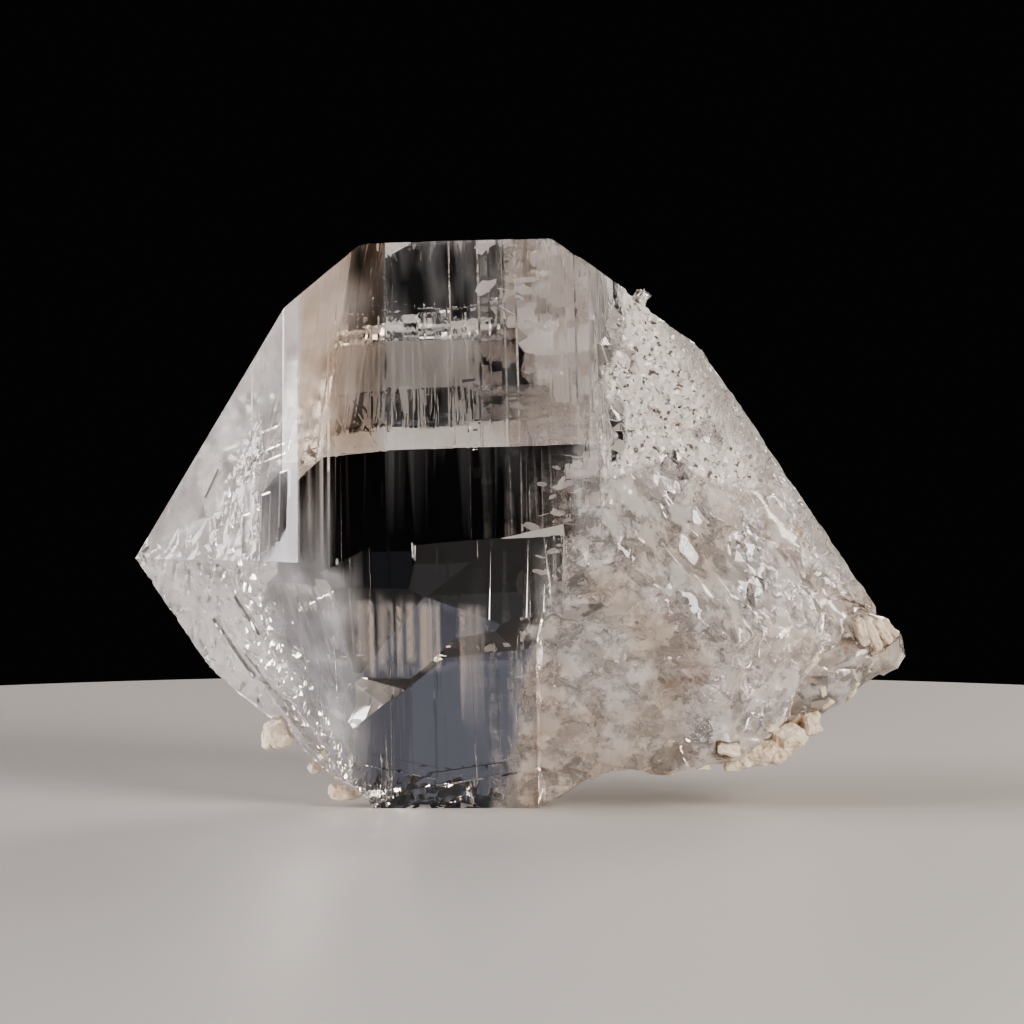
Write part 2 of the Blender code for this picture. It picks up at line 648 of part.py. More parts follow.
def stand_over_origin(parts, cutters):
    """Moves everything so that the origin is under the middle of the whole part."""
    bpy.context.view_layer.update()
    graph = bpy.context.evaluated_depsgraph_get()
    corners = []
    for thing in parts.objects:
        seen = thing.evaluated_get(graph)
        corners += [seen.matrix_world @ Vector(corner) for corner in seen.bound_box]
    low = Vector([min(c[i] for c in corners) for i in range(3)])
    high = Vector([max(c[i] for c in corners) for i in range(3)])
    middle = (low + high) / 2.0
    for thing in [*parts.objects, *cutters.objects]:
        thing.location -= Vector((middle.x, middle.y, low.z))


def main():
    for old in list(bpy.data.objects):
        bpy.data.objects.remove(old)
    parts = bpy.data.collections.new(PART_NAME)
    cutters = bpy.data.collections.new("cutters")
    bpy.context.scene.collection.children.link(parts)
    bpy.context.scene.collection.children.link(cutters)
    quartz = new_material("clear_quartz", (0.95, 0.93, 0.92), 0.03, 1.0, 1.544)
    feldspar = new_material("cream_feldspar", (0.69, 0.58, 0.43), 0.55)

    crystal = make_crystal_body(parts)
    crystal.data.materials.append(quartz)
    cut_underside(crystal, cutters)
    cut_broken_patches(crystal, cutters)
    cut_etched_face(crystal, cutters)
    cut_milky_front(crystal, cutters)
    cut_front_layer(crystal, cutters)
    cut_front_facets(crystal, cutters)
    cut_front_scoops(crystal, cutters)
    cut_chips(crystal, cutters)
    cut_pits(crystal, cutters)
    add_blocks(crystal, cutters)
    for name, blades in FELDSPAR.items():
        cut_pocket(crystal, cutters, name, blades)
        piece = make_feldspar(name, blades, parts, cutters)
        piece.data.materials.append(feldspar)
    stand_over_origin(parts, cutters)


main()
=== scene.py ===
"""Looks of the quartz crystal: clear faces, growth lines, etched and milky quartz, feldspar, and the studio.

Lengths are given in millimetres. The long axis of the crystal lies almost along X, and its best side faces -Y.
"""

import math
import random

import bmesh
import bpy
from bpy.props import FloatProperty, FloatVectorProperty, IntProperty, PointerProperty, StringProperty
from mathutils import Matrix, Vector, noise
from mathutils.bvhtree import BVHTree


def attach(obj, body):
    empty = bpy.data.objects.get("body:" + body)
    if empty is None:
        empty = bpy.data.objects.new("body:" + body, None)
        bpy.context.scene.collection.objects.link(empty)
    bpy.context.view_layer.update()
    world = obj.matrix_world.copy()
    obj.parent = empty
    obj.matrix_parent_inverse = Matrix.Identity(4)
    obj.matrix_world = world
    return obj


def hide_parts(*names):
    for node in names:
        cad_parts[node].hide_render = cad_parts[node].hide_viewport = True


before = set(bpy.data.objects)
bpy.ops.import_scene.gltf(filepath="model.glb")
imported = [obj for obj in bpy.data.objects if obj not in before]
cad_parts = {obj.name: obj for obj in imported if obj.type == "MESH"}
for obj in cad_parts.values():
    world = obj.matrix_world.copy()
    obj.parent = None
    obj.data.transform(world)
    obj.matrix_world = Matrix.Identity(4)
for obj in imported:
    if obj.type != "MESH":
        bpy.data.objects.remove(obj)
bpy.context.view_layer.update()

bl_info = {
    "name": "Quartz specimen",
    "version": (1, 0, 0),
    "blender": (4, 5, 0),
    "location": "3D View > Sidebar > Specimen",
    "description": "Dresses the quartz crystal and sets it in a plain studio",
    "category": "Object",
}

MM = 0.001

# The long axis of the crystal: it passes over the origin at this height and rises to the right
AXIS_RISE = math.radians(1.6)
AXIS_HEIGHT = 28.0


class CrystalSettings(bpy.types.PropertyGroup):
    """Sizes and colours of the quartz."""

    clear_colour: StringProperty(name="Clear quartz", description="Tint of the clear quartz", default="#FBF9F7")
    milky_colour: StringProperty(name="Milky quartz", description="Colour of the milky quartz", default="#DCD7D3")
    warm_colour: StringProperty(name="Warm quartz", description="Colour of the beige milky quartz", default="#D2C3B3")
    stain_colour: StringProperty(name="Iron stain", description="Colour of the iron stain", default="#A8703C")
    # Painted reflection: the beige seen through the steep face high on the left, also tinting the painted highlight
    # stripes
    painted_tint_colour: StringProperty(name="Beige veil", description="Tint of the steep upper face", default="#D6BB9F")
    etched_colour: StringProperty(name="Etched quartz", description="Colour of etched quartz", default="#F4EFEA")
    # Painted shade: dark specks that stand for the shaded pits of etched quartz
    painted_pit_shade_colour: StringProperty(name="Specks", description="Colour of the specks on etched quartz", default="#6E6258")
    ior: FloatProperty(name="Refraction", description="Refractive index of quartz", default=1.544, min=1.0, max=3.0)
    line_spacing: FloatProperty(
        name="Growth line spacing",
        description="Mean distance between two growth lines, in millimetres",
        default=0.42,
        min=0.1,
    )
    line_depth: FloatProperty(
        name="Growth line depth", description="Greatest depth of a growth line, in millimetres", default=0.035, min=0.0
    )
    rough_cell: FloatProperty(
        name="Rough cell",
        description="Longest edge of the mesh where the quartz is rough, in millimetres",
        default=0.63,
        min=0.2,
    )
    rough_depth: FloatProperty(
        name="Etch depth", description="Scale of the relief of etched quartz", default=1.1, min=0.0
    )


class StageSettings(bpy.types.PropertyGroup):
    """Sizes and colours of the studio."""

    floor_colour: StringProperty(name="Floor", description="Colour of the floor", default="#C3C0BC")
    floor_radius: FloatProperty(name="Floor radius", description="Radius of the floor in mm", default=170.0, min=60.0)
    focal_length: FloatProperty(
        name="Focal length", description="Focal length of the camera", default=144.0, unit="CAMERA"
    )


def linear(hex_colour):
    """Linear colour with alpha from an sRGB hex value."""
    values = [int(hex_colour[i : i + 2], 16) / 255.0 for i in (1, 3, 5)]
    return tuple(v / 12.92 if v <= 0.04045 else ((v + 0.055) / 1.055) ** 2.4 for v in values) + (1.0,)


def add_node(material, kind, links=None, **settings):
    """Adds a node. Links map one of its inputs to an output socket or a plain value."""
    node = material.node_tree.nodes.new(kind)
    for name, value in settings.items():
        setattr(node, name, value)
    for name, value in (links or {}).items():
        socket = node.inputs[name]
        if isinstance(value, bpy.types.NodeSocket):
            material.node_tree.links.new(value, socket)
        else:
            socket.default_value = value
    return node


def new_material(name):
    """Empty node material with its shader and output."""
    material = bpy.data.materials.new(name)
    material.use_nodes = True
    material.node_tree.nodes.clear()
    output = add_node(material, "ShaderNodeOutputMaterial")
    shader = add_node(material, "ShaderNodeBsdfPrincipled")
    material.node_tree.links.new(shader.outputs["BSDF"], output.inputs["Surface"])
    return material, shader


def deselect():
    """Leaves object mode clean: nothing selected."""
    if bpy.context.object and bpy.context.object.mode != "OBJECT":
        bpy.ops.object.mode_set(mode="OBJECT")
    bpy.ops.object.select_all(action="DESELECT")


def make_active(thing):
    """Selects one object alone."""
    deselect()
    bpy.context.view_layer.objects.active = thing
    thing.select_set(True)


def copy_of_node(node, name):
    """Copy of a CAD node's mesh as a new object, with its loose triangles merged."""
    thing = bpy.data.objects.new(name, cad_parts[node].data.copy())
    bpy.context.scene.collection.objects.link(thing)
    thing.data.materials.clear()
    make_active(thing)
    bpy.ops.object.mode_set(mode="EDIT")
    bpy.ops.mesh.select_all(action="SELECT")
    bpy.ops.mesh.remove_doubles(threshold=0.000001)
    bpy.ops.object.mode_set(mode="OBJECT")
    return thing


def along_axis():
    """Direction of the crystal's long axis."""
    return Vector((math.cos(AXIS_RISE), 0.0, math.sin(AXIS_RISE)))


def face_normal(azimuth):
    """Outward direction of a prism face, by its azimuth round the long axis, 0 to the viewer and 90 up."""
    angle = math.radians(azimuth)
    return Matrix.Rotation(-AXIS_RISE, 3, "Y") @ Vector((0.0, -math.cos(angle), math.sin(angle)))


def smoothstep(low, high, value):
    part = max(0.0, min(1.0, (value - low) / (high - low)))
    return part * part * (3.0 - 2.0 * part)


def fractal(point, size, seed):
    """Fractal noise from about -1 to 1, with lumps of the given size in mm."""
    return noise.fractal(Vector(point) / (size * MM) + Vector((seed * 3.7, seed * 1.9, seed * 5.3)), 1.0, 2.0, 3)


# Lines in the front view: where the clear quartz ends on its right, where the etched face passes
# into the milky quartz below it, and the smooth outer edge of the etched face, as (height, x) or (x, height) in mm
MILKY_FROM = ((0.0, -3.0), (6.0, -0.5), (12.0, 0.3), (20.0, 1.0), (27.0, 3.5), (33.0, 8.0), (40.0, 8.6), (62.0, 11.5))
ETCHED_ABOVE = ((0.0, 37.0), (16.0, 37.5), (22.0, 34.5), (28.0, 35.5), (31.0, 27.0), (36.0, 24.0), (44.0, 22.0))
EDGE_HIGH, EDGE_LOW = (19.7, 50.5), (38.9, 22.2)
EDGE_MARGIN = (1.4, 3.0)
CLOUD_CELL = 2.6

# Pockets where the etching has left smooth, dark quartz: middle as (x, height) and half sizes, in mm
POCKETS = (((16.3, 36.7), (1.5, 2.8)), ((24.6, 27.2), (1.8, 5.8)), ((10.2, 41.5), (1.0, 3.4)), ((21.5, 41.0), (2.4, 1.2)))


def on_line(line, value):
    """Height of a line of points at a value, level beyond its ends."""
    if value <= line[0][0]:
        return line[0][1]
    for (a, low), (b, high) in zip(line, line[1:]):
        if value <= b:
            return low + (high - low) * (value - a) / (b - a)
    return line[-1][1]


def edge_distance(point):
    """Distance in the front view from the straight edge on the upper right, in mm."""
    along = Vector(EDGE_LOW) - Vector(EDGE_HIGH)
    offset = Vector((point.x / MM - EDGE_HIGH[0], point.z / MM - EDGE_HIGH[1]))
    return (offset.x * along.y - offset.y * along.x) / along.length


def surface_kind(point):
    """How milky and how etched the quartz is at a point of its surface, each from 0 to 1."""
    x, z = point.x / MM, point.z / MM
    past = x - on_line(MILKY_FROM, z)
    if past < -3.0:
        return 0.0, 0.0
    rough = smoothstep(-0.6, 0.9, past - 1.6 * fractal(point, 5.0, 2))
    upper = smoothstep(-0.8, 0.8, z - on_line(ETCHED_ABOVE, x) - 1.5 * fractal(point, 4.0, 3))
    clear_edge = smoothstep(*EDGE_MARGIN, edge_distance(point) + 0.8 * fractal(point, 3.0, 6))
    if point.y > 0.0:
        return rough * (1.0 - upper), rough * upper
    open_ground = 1.0
    for (mid_x, mid_z), (half_x, half_z) in POCKETS:
        away = math.hypot((x - mid_x) / half_x, (z - mid_z) / half_z)
        if away < 2.0:
            open_ground *= smoothstep(0.85, 1.15, away + 0.5 * fractal(point, 1.8, 15))
    return rough * (1.0 - upper) * open_ground, rough * upper * (0.25 + 0.75 * clear_edge) * open_ground


def cloud_and_painted_reflection(point):
    """Faint cloud in the clear quartz, from 0 to 1: towards the left end, and painted reflection in streaks on the
    upper face.
    """
    x, z = point.x / MM, point.z / MM
    if x > 12.0:
        return 0.0
    left = 0.0
    if x < -12.0:
        clear_until = -17.0 - 8.0 * smoothstep(26.0, 28.5, z) * (1.0 - smoothstep(36.0, 42.0, z))
        left = smoothstep(-1.5, 3.0, clear_until - x + 2.0 * fractal(point, 7.0, 16))
        left *= 0.75 + 0.5 * fractal(point, 3.5, 17)
    upper = 0.0
    # Painted reflection: the upper face is whitened in streaks above the height where it mirrors light from inside the
    # crystal
    if z > 40.0 and point.y < 0.0:
        streaks = Vector((point.x * 1.6, point.y, point.z * 0.4))
        upper = smoothstep(40.6, 42.2, z) * max(0.03, 0.13 + 0.25 * fractal(streaks, 3.2, 19))
    return max(0.0, left, upper)


def worn(point):
    """How chipped the two left faces are on the side to the viewer, from 0 to 1."""
    x, z = point.x / MM, point.z / MM
    if point.y > 0.0 or x > -15.0 or z > 44.0:
        return 0.0
    ragged = 1.2 * fractal(point, 4.0, 21)
    if z < 27.6:
        return smoothstep(-0.4, 1.2, -27.5 + 0.47 * (25.1 - z) - x + ragged)
    wedge = smoothstep(-0.3, 0.6, 28.2 + 0.42 * (x + 40.0) - z + 0.3 * ragged) * (x < -28.0)
    band = 1.0 - smoothstep(0.7, 1.2, math.hypot((x + 30.6 - 0.25 * (z - 35.0)) / 1.5, (z - 35.0) / 7.5) + 0.2 * ragged)
    return max(wedge, band)


def worn_height(point):
    """Relief of the chipped left faces in mm: shallow dents, drawn out down the slope."""
    along = Matrix.Rotation(math.radians(48.0), 3, "Y") @ point
    drawn_out = Vector((along.x * 0.45, along.y, along.z))
    dent = max(0.0, fractal(drawn_out, 0.9, 22) - 0.12)
    return 0.05 * fractal(point, 1.6, 23) - 0.55 * dent


def painted_stripes(point):
    """Pale stripes across the clear lower face, from 0 to 1.5: painted highlight where its growth lines catch the
    light.
    """
    x, z = point.x / MM, point.z / MM
    if point.y > 0.0 or not -20.0 < x < -2.6 or not 13.0 < z < 25.0:
        return 0.0
    line = noise.noise(Vector((x / 0.5, 0.0, 3.3)))
    foot = 16.2 + 2.4 * noise.noise(Vector((x / 1.5, 0.0, 7.7)))
    height = smoothstep(foot - 0.4, foot + 0.8, z) * (1.0 - smoothstep(22.8, 24.0, z + 0.06 * (x + 12.0)))
    width = smoothstep(-19.0, -17.5, x) * (1.0 - smoothstep(-4.4, -3.2, x))
    return width * height * max(0.0, min(1.5, 0.4 + 2.0 * line))


def painted_beige_reflection(point):
    """How much beige reflection is painted on the steep face high on the left, from 0 to 1."""
    x, z = point.x / MM, point.z / MM
    if point.y > 0.0 or z < 34.0 or not -26.0 < x < -13.0:
        return 0.0
    band = smoothstep(-24.6, -23.4, x) * (1.0 - smoothstep(-15.4, -14.4, x))
    return band * smoothstep(35.0, 39.0, z) * (0.8 + 0.4 * fractal(point, 5.0, 18))


def make_growth_lines(thing, settings):
    """Cuts the prism faces across the long axis and moves the cuts in and out, as growth lines."""
    pick = random.Random(3)
    axis = along_axis()
    make_active(thing)
    bpy.ops.object.mode_set(mode="EDIT")
    x = -24.0
    while x < 13.0:
        bpy.ops.mesh.select_all(action="SELECT")
        place = Vector((x * MM, 0.0, AXIS_HEIGHT * MM))
        bpy.ops.mesh.bisect(plane_co=place, plane_no=axis)
        x += settings.line_spacing * pick.uniform(0.35, 1.65)
    bpy.ops.object.mode_set(mode="OBJECT")
    body = bmesh.new()
    body.from_mesh(thing.data)
    body.normal_update()
    prism = [face_normal(a) for a in (-150, -90, -30, 30, 90, 150)]
    moves = []
    for vertex in body.verts:
        normals = [f.normal for f in vertex.link_faces]
        for outward in prism:
            if normals and all(n.dot(outward) > 0.99 for n in normals):
                ring = round(vertex.co.dot(axis) / (0.02 * MM))
                depth = noise.noise(Vector((ring * 0.37, 0.0, 0.0)))
                if outward.z < 0.0 and outward.y < 0.0 and 13.5 < vertex.co.z / MM < 24.5 and vertex.co.x < 0.0:
                    depth *= 2.4
                fade = noise.noise(Vector((ring * 0.11, vertex.co.y / (6 * MM), vertex.co.z / (6 * MM))))
                moves.append((vertex, outward * depth * (0.4 + fade) * settings.line_depth * MM))
    for vertex, move in moves:
        vertex.co += move
    body.to_mesh(thing.data)
    body.free()


def broken_rim(point):
    """How broken the clear quartz is close to the floor and along the lower left edge, from 0 to 1."""
    x, z = point.x / MM, point.z / MM
    if z > 6.0:
        return 0.0
    ragged = 1.4 * fractal(point, 3.0, 8)
    foot = 1.0 - smoothstep(1.6, 3.0, z + ragged - 0.05 * abs(x + 4.0))
    return foot * smoothstep(-0.2, 0.2, z - 0.25)


def split_long_edges(body, longest, wanted):
    """Halves the edges longer than a length in mm whose middle is wanted, until none is left."""
    refused = set()
    for _ in range(7):
        found = []
        for edge in body.edges:
            if edge.calc_length() > longest * MM and edge not in refused:
                if wanted((edge.verts[0].co + edge.verts[1].co) / 2):
                    found.append(edge)
                else:
                    refused.add(edge)
        if not found:
            return
        bmesh.ops.subdivide_edges(body, edges=found, cuts=1)
        bmesh.ops.triangulate(body, faces=[f for f in body.faces if len(f.verts) > 3])


def etched_height(point):
    """Relief of etched quartz: small terraces and pits drawn out along the slope, in mm."""
    along = Matrix.Rotation(math.radians(-34.0), 3, "Y") @ point
    drawn_out = Vector((along.x, along.y, along.z * 0.45))
    terrace = 0.5 * fractal(drawn_out, 1.7, 4)
    terrace = math.floor(terrace / 0.16) * 0.16
    pit = max(0.0, 0.42 - noise.cell_vector(drawn_out / (0.9 * MM)).x * 0.2 - abs(fractal(drawn_out, 0.8, 7)))
    return terrace - 0.9 * pit


def refine_rough_quartz(thing, settings):
    """Divides the mesh finely where the quartz is rough, and gives it the relief of broken and etched quartz."""
    body = bmesh.new()
    body.from_mesh(thing.data)
    bmesh.ops.triangulate(body, faces=body.faces)
    split_long_edges(body, settings.rough_cell * 1.6, lambda p: sum(surface_kind(p)) > 0.02)
    split_long_edges(body, settings.rough_cell, lambda p: p.y < 0.0 and surface_kind(p)[1] > 0.05)
    split_long_edges(body, settings.rough_cell * 1.5, lambda p: broken_rim(p) > 0.02)
    split_long_edges(body, CLOUD_CELL, lambda p: cloud_and_painted_reflection(p) > 0.02 or painted_beige_reflection(p) > 0.02)
    split_long_edges(body, settings.rough_cell * 1.2, lambda p: worn(p) > 0.05)
    split_long_edges(body, settings.rough_cell * 1.6, lambda p: painted_stripes(p) > 0.0)
    body.normal_update()
    milk = body.verts.layers.float.new("milk")
    etch = body.verts.layers.float.new("etch")
    # This layer holds the faint cloud and also painted light: the reflection on the upper face and the highlight
    # stripes
    cloud = body.verts.layers.float.new("cloud")
    # This layer holds painted light only: the beige reflection on the steep face and the tint of the highlight stripes
    painted_tint = body.verts.layers.float.new("painted_tint")
    moves = []
    for vertex in body.verts:
        milky, etched = surface_kind(vertex.co)
        vertex[milk], vertex[etch] = milky, etched
        # Painted highlight: pale stripes on the clear lower face, which whiten its body and tint its colour
        stripe_highlight = painted_stripes(vertex.co)
        vertex[cloud] = max(cloud_and_painted_reflection(vertex.co), stripe_highlight)
        vertex[painted_tint] = min(1.0, painted_beige_reflection(vertex.co) + 0.5 * stripe_highlight)
        rim = broken_rim(vertex.co) * (1.0 - milky)
        height = 0.0
        if milky > 0.0:
            height += milky * (0.2 * fractal(vertex.co, 2.6, 4) + 0.08 * fractal(vertex.co, 0.9, 5))
        if etched > 0.0:
            height += etched * etched_height(vertex.co) * settings.rough_depth
        chipped = worn(vertex.co)
        if chipped > 0.0:
            height += chipped * worn_height(vertex.co)
        if rim > 0.0:
            height += rim * (0.5 * fractal(vertex.co, 3.6, 9) - 0.2)
        if height:
            moves.append((vertex, vertex.normal * height * MM))
    for vertex, move in moves:
        vertex.co += move
        vertex.co.z = max(0.0, vertex.co.z)
    body.normal_update()
    for face in body.faces:
        face.smooth = all(v[milk] > 0.4 for v in face.verts)
    for edge in body.edges:
        edge.smooth = edge.calc_face_angle(0.0) < math.radians(32.0)
    body.to_mesh(thing.data)
    body.free()


def quartz_material(settings):
    """Natural quartz: clear and glossy on its faces, frosted where it is etched, and white with cracks where milky."""
    material, shader = new_material("natural quartz")
    milk = add_node(material, "ShaderNodeAttribute", attribute_name="milk").outputs["Fac"]
    etch = add_node(material, "ShaderNodeAttribute", attribute_name="etch").outputs["Fac"]
    cloud_and_painted_light = add_node(material, "ShaderNodeAttribute", attribute_name="cloud").outputs["Fac"]
    painted_tint = add_node(material, "ShaderNodeAttribute", attribute_name="painted_tint").outputs["Fac"]
    place = add_node(material, "ShaderNodeTexCoord").outputs["Object"]

    # Patterns: clouds of 3 mm, beige areas of 9 mm, rusty areas of 5 mm and dark specks of 0.8 mm, the painted shade of
    # pits
    levels = []
    for size, detail, roughness, low, high in (
        (3.0, 8.0, 0.68, 0.46, 0.56),
        (9.0, 4.0, 0.5, 0.42, 0.66),
        (5.3, 8.0, 0.66, 0.61, 0.70),
        (0.8, 5.0, 0.6, 0.57, 0.61),
    ):
        lumps = add_node(
            material,
            "ShaderNodeTexNoise",
            {"Vector": place, "Scale": 1.0 / (size * MM), "Detail": detail, "Roughness": roughness},
        )
        level = add_node(
            material, "ShaderNodeMapRange", {"Value": lumps.outputs["Fac"], "From Min": low, "From Max": high}
        )
        levels.append(level.outputs["Result"])
    cloud, beige, rust, pit_shade = levels

    # Colour: milky white to beige, etched white with dark specks of painted pit shade, iron stain on both, and the tint
    # of clear quartz with its painted beige reflection and stripe highlight
    frosted = add_node(material, "ShaderNodeMath", {0: milk, 1: etch}, operation="MAXIMUM").outputs[0]
    rusty = add_node(material, "ShaderNodeMath", {0: rust, 1: 0.75}, operation="MULTIPLY").outputs[0]
    colour = add_node(
        material,
        "ShaderNodeMix",
        {"Factor": beige, "A": linear(settings.milky_colour), "B": linear(settings.warm_colour)},
        data_type="RGBA",
    ).outputs["Result"]
    # Painted shade: the etched white is darkened in specks for its pits
    etched = add_node(
        material,
        "ShaderNodeMix",
        {"Factor": pit_shade, "A": linear(settings.etched_colour), "B": linear(settings.painted_pit_shade_colour)},
        data_type="RGBA",
    ).outputs["Result"]
    # Painted reflection and highlight: the clear quartz is tinted beige on the steep face and on the pale stripes
    clear = add_node(
        material,
        "ShaderNodeMix",
        {"Factor": painted_tint, "A": linear(settings.clear_colour), "B": linear(settings.painted_tint_colour)},
        data_type="RGBA",
    ).outputs["Result"]
    for factor, one, two in (
        (etch, None, etched),
        (rusty, None, linear(settings.stain_colour)),
        (frosted, clear, None),
    ):
        colour = add_node(
            material,
            "ShaderNodeMix",
            {"Factor": factor, "A": one or colour, "B": two or colour},
            data_type="RGBA",
        ).outputs["Result"]

    # Body: how much white surface is mixed into the clear quartz, also as painted reflection on the upper face and
    # painted highlight on the stripes
    body = add_node(material, "ShaderNodeMath", {0: cloud, 1: 0.5}, operation="ADD").outputs[0]
    body = add_node(material, "ShaderNodeMath", {0: body, 1: 0.37}, operation="MULTIPLY").outputs[0]
    body = add_node(material, "ShaderNodeMath", {0: body, 1: milk}, operation="MULTIPLY").outputs[0]
    gloss = add_node(material, "ShaderNodeMath", {0: milk, 1: 0.06}, operation="MULTIPLY").outputs[0]
    for mask, share, frost in ((etch, 0.62, 0.26), (cloud_and_painted_light, 0.3, 0.07)):
        part = add_node(material, "ShaderNodeMath", {0: mask, 1: share}, operation="MULTIPLY").outputs[0]
        body = add_node(material, "ShaderNodeMath", {0: body, 1: part}, operation="MAXIMUM").outputs[0]
        part = add_node(material, "ShaderNodeMath", {0: mask, 1: frost}, operation="MULTIPLY").outputs[0]
        gloss = add_node(material, "ShaderNodeMath", {0: gloss, 1: part}, operation="MAXIMUM").outputs[0]
    through = add_node(material, "ShaderNodeMath", {0: 1.0, 1: body}, operation="SUBTRACT").outputs[0]

    link = material.node_tree.links.new
    link(colour, shader.inputs["Base Color"])
    link(through, shader.inputs["Transmission Weight"])
    link(gloss, shader.inputs["Roughness"])
    shader.inputs["IOR"].default_value = settings.ior
    return material


def crack_material():
    """Gas-filled crack in quartz: it throws the light back, so it reads as a thin white veil."""
    material, shader = new_material("crack in quartz")
    shader.inputs["Base Color"].default_value = linear("#F3EEEA")
    shader.inputs["Roughness"].default_value = 0.18
    shader.inputs["Alpha"].default_value = 0.5
    return material


def feldspar_material():
    """Feldspar: a matt cream mineral, rusty in its seams."""
    material, shader = new_material("cream feldspar")
    place = add_node(material, "ShaderNodeTexCoord").outputs["Object"]
    grain = add_node(material, "ShaderNodeTexNoise", {"Vector": place, "Scale": 800.0, "Detail": 6.0})
    tint = add_node(
        material,
        "ShaderNodeMix",
        {"Factor": grain.outputs["Fac"], "A": linear("#C9B294"), "B": linear("#F1E8DA")},
        data_type="RGBA",
    )
    seams = add_node(material, "ShaderNodeTexNoise", {"Vector": place, "Scale": 420.0, "Detail": 6.0, "Roughness": 0.7})
    rust = add_node(
        material,
        "ShaderNodeMapRange",
        {"Value": seams.outputs["Fac"], "From Min": 0.55, "From Max": 0.72, "To Max": 0.7},
    )
    stained = add_node(
        material,
        "ShaderNodeMix",
        {"Factor": rust.outputs["Result"], "A": tint.outputs["Result"], "B": linear("#A9743F")},
        data_type="RGBA",
    )
    material.node_tree.links.new(stained.outputs["Result"], shader.inputs["Base Color"])
    shader.inputs["Roughness"].default_value = 0.5
    return material


class SPECIMEN_OT_crystal(bpy.types.Operator):
    """Makes the quartz crystal with its growth lines and its rough, milky part"""

    bl_idname = "specimen.crystal"
    bl_label = "Quartz crystal"

    def execute(self, context):
        settings = context.scene.specimen_crystal
        thing = copy_of_node("quartz_crystal", "clear_quartz")
        make_growth_lines(thing, settings)
        refine_rough_quartz(thing, settings)
        thing.data.materials.append(quartz_material(settings))
        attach(thing, "root")
        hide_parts("quartz_crystal")
        return {"FINISHED"}


def model_flake(seed):
    """Thin ragged lens, 2 mm across, that stands for one crack. Later copies are scaled and turned."""
    pick = random.Random(seed)
    deselect()
    bpy.ops.mesh.primitive_circle_add(vertices=11, radius=1.0 * MM, fill_type="TRIFAN", location=(0, 0, 0))
    flake = bpy.context.object
    bpy.ops.object.mode_set(mode="EDIT")
    bpy.ops.mesh.select_all(action="SELECT")
    bpy.ops.mesh.extrude_region_move(TRANSFORM_OT_translate={"value": (0, 0, 0.03 * MM)})
    bpy.ops.object.mode_set(mode="OBJECT")
    reach = {}
    for vertex in flake.data.vertices:
        angle = round(math.atan2(vertex.co.y, vertex.co.x), 2)
        if vertex.co.xy.length > 0.5 * MM:
            reach.setdefault(angle, pick.uniform(0.55, 1.1))
            vertex.co.x *= reach[angle]
            vertex.co.y *= reach[angle] * 0.7
    make_active(flake)
    bpy.ops.object.mode_set(mode="EDIT")
    bpy.ops.mesh.select_all(action="SELECT")
    bpy.ops.mesh.normals_make_consistent(inside=False)
    bpy.ops.object.mode_set(mode="OBJECT")
    return flake


def surface_of(thing):
    """Search tree over a piece's surface."""
    body = bmesh.new()
    body.from_mesh(thing.data)
    tree = BVHTree.FromBMesh(body)
    body.free()
    return tree


def inside_by(tree, point):
    """How far a point lies inside the surface in metres, negative outside."""
    distance = tree.find_nearest(point)[3]
    for way in ((1, 0, 0), (-1, 0, 0), (0, 1, 0), (0, -1, 0), (0, 0, 1), (0, 0, -1)):
        found, normal, index, length = tree.ray_cast(point, Vector(way))
        if found is None or normal.dot(way) < 0.0:
            return -distance
    return distance


# Cracks: how many, the box they lie in as (x, y, z) ranges in mm, their size in mm, and how far they tip from level
CRACKS = (
    (230, (1, 38), (-17, 14), (5, 34), (0.5, 3.4), 22.0),
    (90, (3, 36), (-17, 10), (6, 40), (0.3, 1.4), 90.0),
    (26, (8, 26), (-10, 8), (36, 54), (0.5, 2.2), 50.0),
    (9, (-9, 8), (-8, 4), (50, 58), (0.8, 2.6), 35.0),
    (14, (-30, -14), (-12, 6), (8, 22), (0.4, 1.3), 60.0),
)


class SPECIMEN_OT_cracks(bpy.types.Operator):
    """Scatters fine cracks inside the milky quartz and a few inside the clear quartz"""

    bl_idname = "specimen.cracks"
    bl_label = "Cracks"

    def execute(self, context):
        pick = random.Random(19)
        tree = surface_of(bpy.data.objects["clear_quartz"])
        flakes = [model_flake(seed) for seed in range(6)]
        body = bmesh.new()
        for count, xs, ys, zs, sizes, tip in CRACKS:
            placed = 0
            for _ in range(count * 12):
                place = Vector([pick.uniform(*r) * MM for r in (xs, ys, zs)])
                size = pick.uniform(*sizes) if pick.random() < 0.35 else pick.uniform(sizes[0], sum(sizes) / 3)
                if inside_by(tree, place) < (size * 1.12 + 0.15) * MM:
                    continue
                turn = Matrix.Rotation(math.radians(pick.uniform(-tip, tip)), 4, "X")
                turn = turn @ Matrix.Rotation(math.radians(pick.uniform(-tip, tip)), 4, "Y")
                turn = turn @ Matrix.Rotation(pick.uniform(0.0, math.tau), 4, "Z")
                copy = pick.choice(flakes).data.copy()
                copy.transform(Matrix.Translation(place) @ turn @ Matrix.Diagonal((size, size, 1.0, 1.0)))
                body.from_mesh(copy)
                bpy.data.meshes.remove(copy)
                placed += 1
                if placed == count:
                    break
        for flake in flakes:
            bpy.data.objects.remove(flake)
        mesh = bpy.data.meshes.new("cracks")
        body.to_mesh(mesh)
        body.free()
        cracks = bpy.data.objects.new("cracks", mesh)
        context.scene.collection.objects.link(cracks)
        mesh.materials.append(crack_material())
        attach(cracks, "root")
        return {"FINISHED"}


